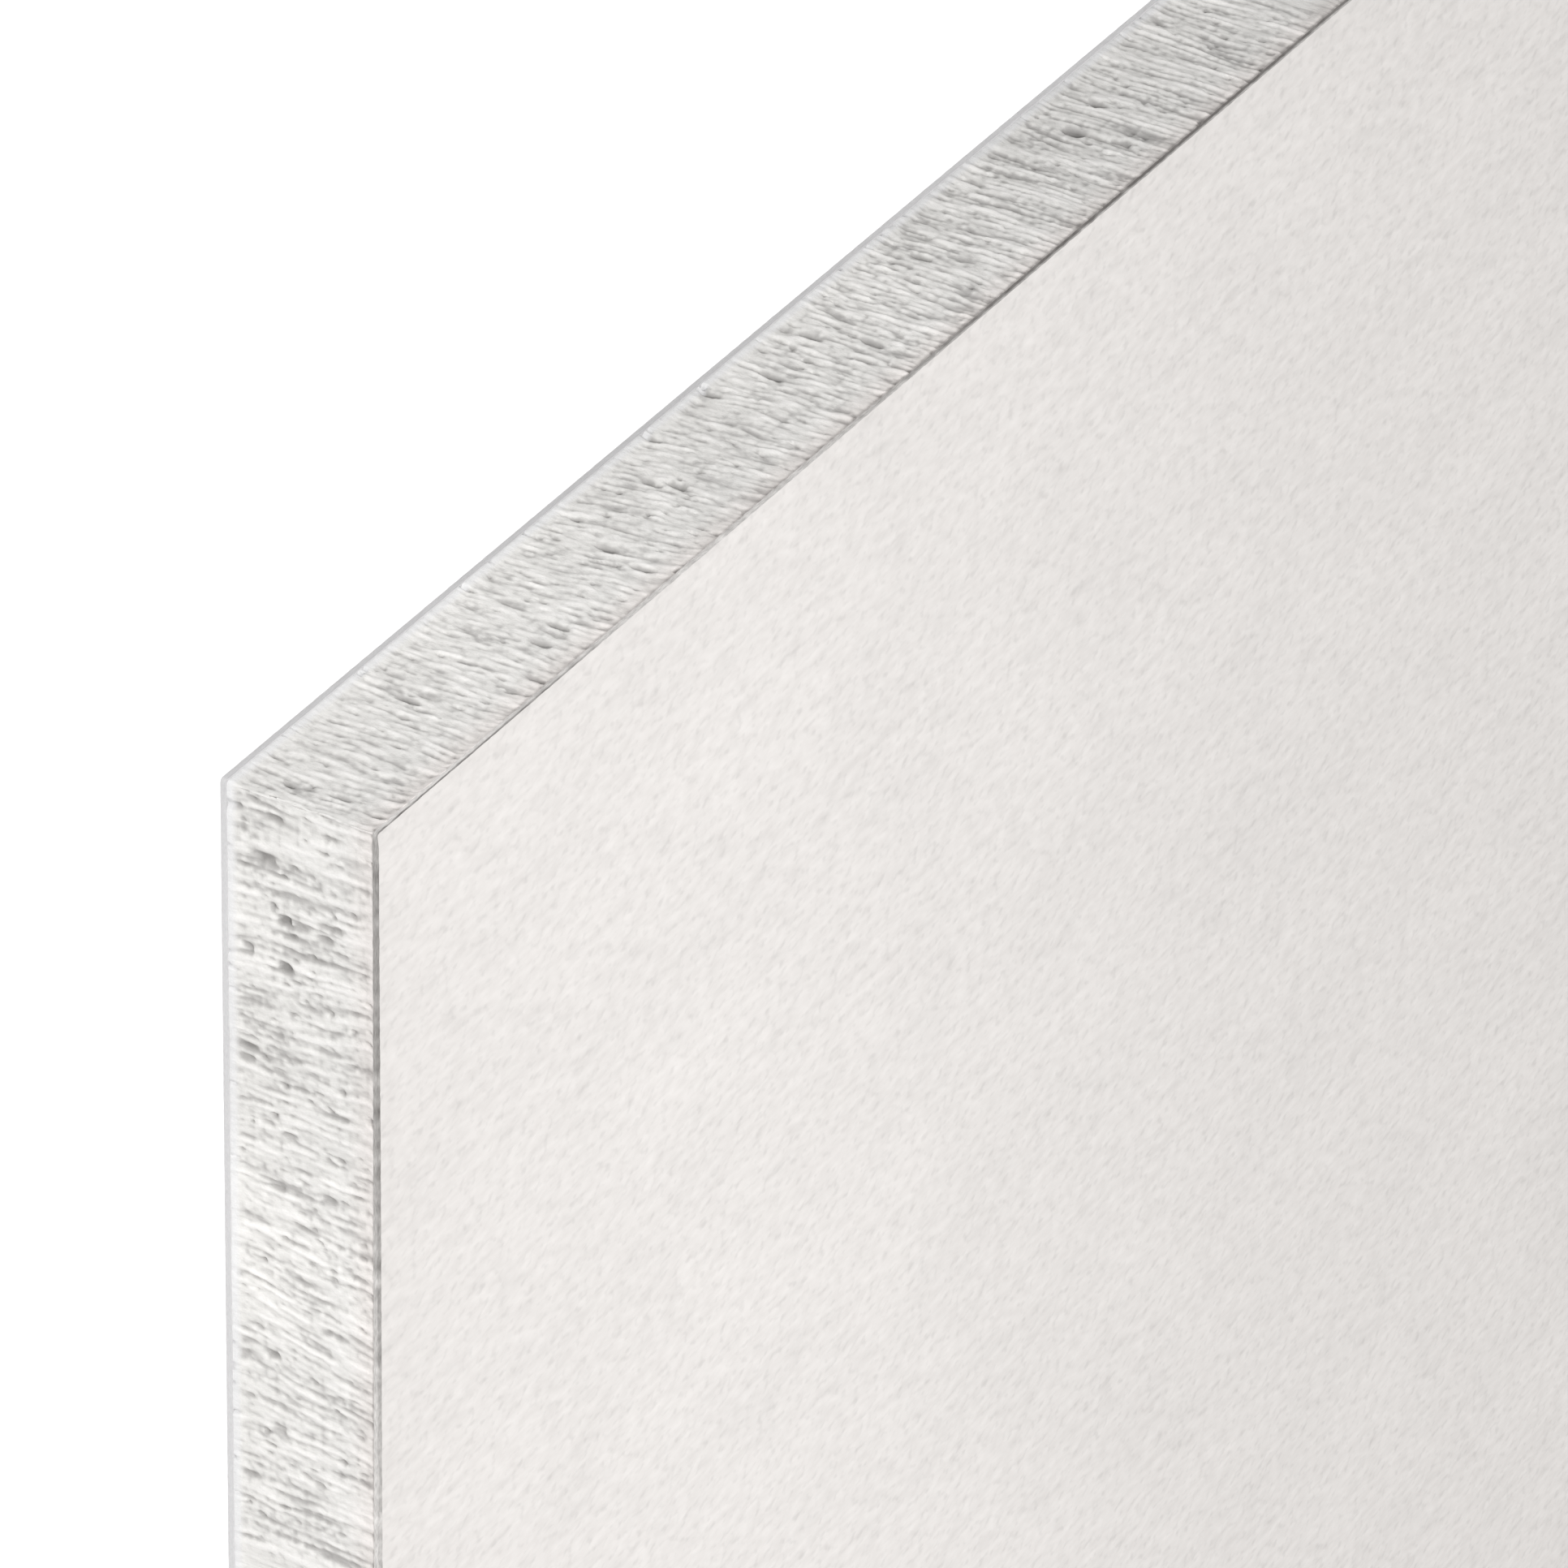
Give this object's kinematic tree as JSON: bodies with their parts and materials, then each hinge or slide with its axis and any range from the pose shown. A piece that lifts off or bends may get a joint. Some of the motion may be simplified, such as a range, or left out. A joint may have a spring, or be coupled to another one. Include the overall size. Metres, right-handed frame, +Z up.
{
  "type": "drywall sheet",
  "caption": "Flat rectangular drywall sheet with square-cut edges: a pale gypsum core bonded between face and back paper, screwed to framing as a wall or ceiling lining.",
  "frame": {"origin": "middle of the back face, on the surface the sheet lies on", "axes": "+X along the length and the paper's fibres, +Y across the width, +Z up through the thickness, out of the face side"},
  "size_m": [2.4384, 1.2192, 0.0127],
  "materials": {
    "back_paper": "matt uncoated grey liner paper, grey on its cut edge",
    "gypsum": "matt gypsum with saw marks across the cut edges",
    "face_paper": "matt ivory liner paper with a faint fibre mottle, darker on its cut edge"
  },
  "bodies": {
    "root": {"back_paper": "back_paper", "gypsum_core": "gypsum", "face_paper": "face_paper"}
  },
  "joints": []
}
